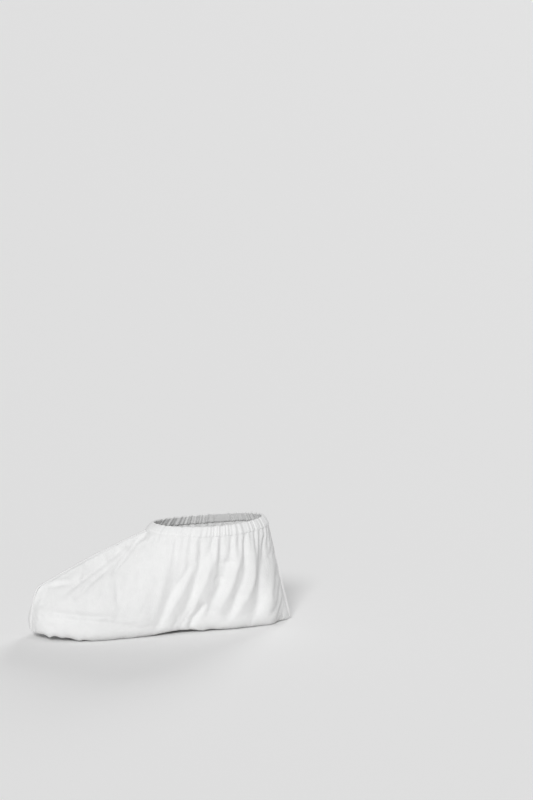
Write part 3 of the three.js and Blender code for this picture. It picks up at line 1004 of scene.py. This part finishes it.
def cloth_material(name, groups):
    thin, thick, fibre_size, bump, sheen = FINISHES[name]
    material = bpy.data.materials.new(name)
    material.use_nodes = True
    tree = material.node_tree
    shader = tree.nodes["Principled BSDF"]
    fibre, greying = groups
    place = tree.nodes.new("ShaderNodeTexCoord").outputs["Object"]
    web = group_node(tree, fibre, Fibre_size=fibre_size)
    low_grey = group_node(tree, greying)
    tree.links.new(place, web.inputs["Place"])
    tree.links.new(place, low_grey.inputs["Place"])
    clean = mix_colour(tree, web.outputs["Cloud"], thin, thick)
    # Greyer towards the floor, in random patches
    colour = mix_colour(tree, low_grey.outputs["Mask"], clean, LOW_GREY)
    tree.links.new(colour, shader.inputs["Base Color"])
    rough = tree.nodes.new("ShaderNodeMapRange")
    rough.inputs["To Min"].default_value = 0.78
    rough.inputs["To Max"].default_value = 0.95
    tree.links.new(web.outputs["Cloud"], rough.inputs["Value"])
    tree.links.new(rough.outputs[0], shader.inputs["Roughness"])
    raised = tree.nodes.new("ShaderNodeBump")
    raised.inputs["Strength"].default_value = bump
    raised.inputs["Distance"].default_value = 0.0005
    tree.links.new(web.outputs["Height"], raised.inputs["Height"])
    tree.links.new(raised.outputs["Normal"], shader.inputs["Normal"])
    shader.inputs["Sheen Weight"].default_value = sheen
    shader.inputs["Sheen Roughness"].default_value = 0.6
    shader.inputs["Specular IOR Level"].default_value = 0.2
    return material


def elastic_material(groups):
    """Cream rubber yarns covered with thread."""
    material = cloth_material("elastic", groups)
    material.node_tree.nodes["Principled BSDF"].inputs["Specular IOR Level"].default_value = 0.35
    return material


def plain_material(name, colour, roughness):
    material = bpy.data.materials.new(name)
    material.use_nodes = True
    shader = material.node_tree.nodes["Principled BSDF"]
    shader.inputs["Base Color"].default_value = (*colour, 1)
    shader.inputs["Roughness"].default_value = roughness
    return material


# Studio

def towards(azimuth, elevation):
    """Direction from the cover; azimuth 0 is in front of the toe and 90 on the +X side."""
    turn = math.radians(azimuth)
    climb = math.radians(elevation)
    return Vector((math.sin(turn) * math.cos(climb), -math.cos(turn) * math.cos(climb), math.sin(climb)))


def add_floor():
    bpy.ops.mesh.primitive_plane_add(size=80, location=(0, 0, 0))
    floor = bpy.context.object
    floor.name = "studio_floor"
    floor.data.materials.append(plain_material("studio_paper", (FLOOR_WHITE,) * 3, 0.9))


def add_sun(name, azimuth, elevation, softness, power):
    """Even light from one side, as soft as a large lamp far off."""
    lamp = bpy.data.lights.new(name, "SUN")
    lamp.energy = power
    lamp.angle = math.radians(softness)
    holder = bpy.data.objects.new(name, lamp)
    holder.rotation_euler = (-towards(azimuth, elevation)).to_track_quat("-Z", "Y").to_euler()
    bpy.context.scene.collection.objects.link(holder)


def add_world(strength):
    world = bpy.data.worlds.new("studio_air")
    world.use_nodes = True
    back = world.node_tree.nodes["Background"]
    back.inputs["Color"].default_value = (1, 1, 1, 1)
    back.inputs["Strength"].default_value = strength
    bpy.context.scene.world = world


def add_camera():
    """Sets the cover at the photo's place and angle in the picture."""
    back = towards(CAMERA_AZIMUTH, CAMERA_ELEVATION)
    across = (AIM_PIXEL[0] - PHOTO_SIZE[0] / 2) / FOCAL_PIXELS
    upward = (PHOTO_SIZE[1] / 2 - AIM_PIXEL[1]) / FOCAL_PIXELS
    ray = Vector((across, upward, 1)).normalized()
    to_aim = -back
    pitch = math.atan2(ray.y, ray.z) - math.asin(to_aim.z / math.hypot(ray.y, ray.z))
    level = ray.z * math.cos(pitch) + ray.y * math.sin(pitch)
    heading = math.atan2(to_aim.y, to_aim.x) + math.atan2(ray.x, level)
    ahead = math.cos(pitch)
    forward = Vector((math.cos(heading) * ahead, math.sin(heading) * ahead, -math.sin(pitch)))
    lens = bpy.data.cameras.new("camera")
    lens.sensor_width = SENSOR
    lens.lens = FOCAL_PIXELS * SENSOR / max(PHOTO_SIZE)
    camera = bpy.data.objects.new("camera", lens)
    camera.location = (Vector(AIM) + back * CAMERA_DISTANCE) * MM
    camera.rotation_euler = forward.to_track_quat("-Z", "Y").to_euler()
    bpy.context.scene.collection.objects.link(camera)
    bpy.context.scene.camera = camera


def add_studio():
    add_floor()
    add_world(AIR_LIGHT)
    add_sun("key", *KEY_LIGHT)
    add_sun("fill", *FILL_LIGHT)
    add_camera()
    bpy.context.scene.view_settings.view_transform = "Standard"


# Assembly

def dress(piece, material, node):
    """Gives a piece its material and its place in the part."""
    piece.data.materials.clear()
    piece.data.materials.append(material)
    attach(piece, "root")
    if node:
        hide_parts(node)
    return piece


def build_cover():
    groups = (fibre_group(), low_grey_group())
    cloth = cloth_material("cloth", groups)
    # The seam cloth is painted a little darker than the panels: painted shade along the welts
    seam_cloth = cloth_material("seam_cloth", groups)
    hem_cloth = cloth_material("hem_cloth", groups)
    thread = cloth_material("thread", groups)

    right = dress(make_panel("right_cloth", RIGHT_FOLDS, RIGHT_CREASES, 1, 1), cloth, "right_panel")
    left = dress(make_panel("left_cloth", LEFT_FOLDS, LEFT_CREASES, 2, -1), cloth, "left_panel")
    front = dress(make_welt("front_welt", FRONT_EDGES, -1), seam_cloth, "front_seam")
    heel = dress(make_welt("heel_welt", HEEL_EDGES, 1), seam_cloth, "heel_seam")
    hem = dress(make_hem(), hem_cloth, "ankle_hem")
    band = dress(make_elastic(), elastic_material(groups), "hem_elastic")

    tree = stitch_tree()
    rows = (
        ("hem_stitches", hem_stitch_line(), True, HEM_STITCH_PITCH, "hem_cloth"),
        ("front_stitches", welt_stitch_line(FRONT_EDGES, -1), False, SEAM_STITCH_PITCH, "seam_cloth"),
        ("heel_stitches", welt_stitch_line(HEEL_EDGES, 1), False, SEAM_STITCH_PITCH, "seam_cloth"),
    )
    sewn = []
    for name, line, closed, pitch, slot in rows:
        stitches = make_stitches(name, tree, line, closed, pitch, thread)
        sewn.append(dress(stitches, thread, None))
    return right, left, front, heel, hem, band, sewn


build_cover()
add_studio()
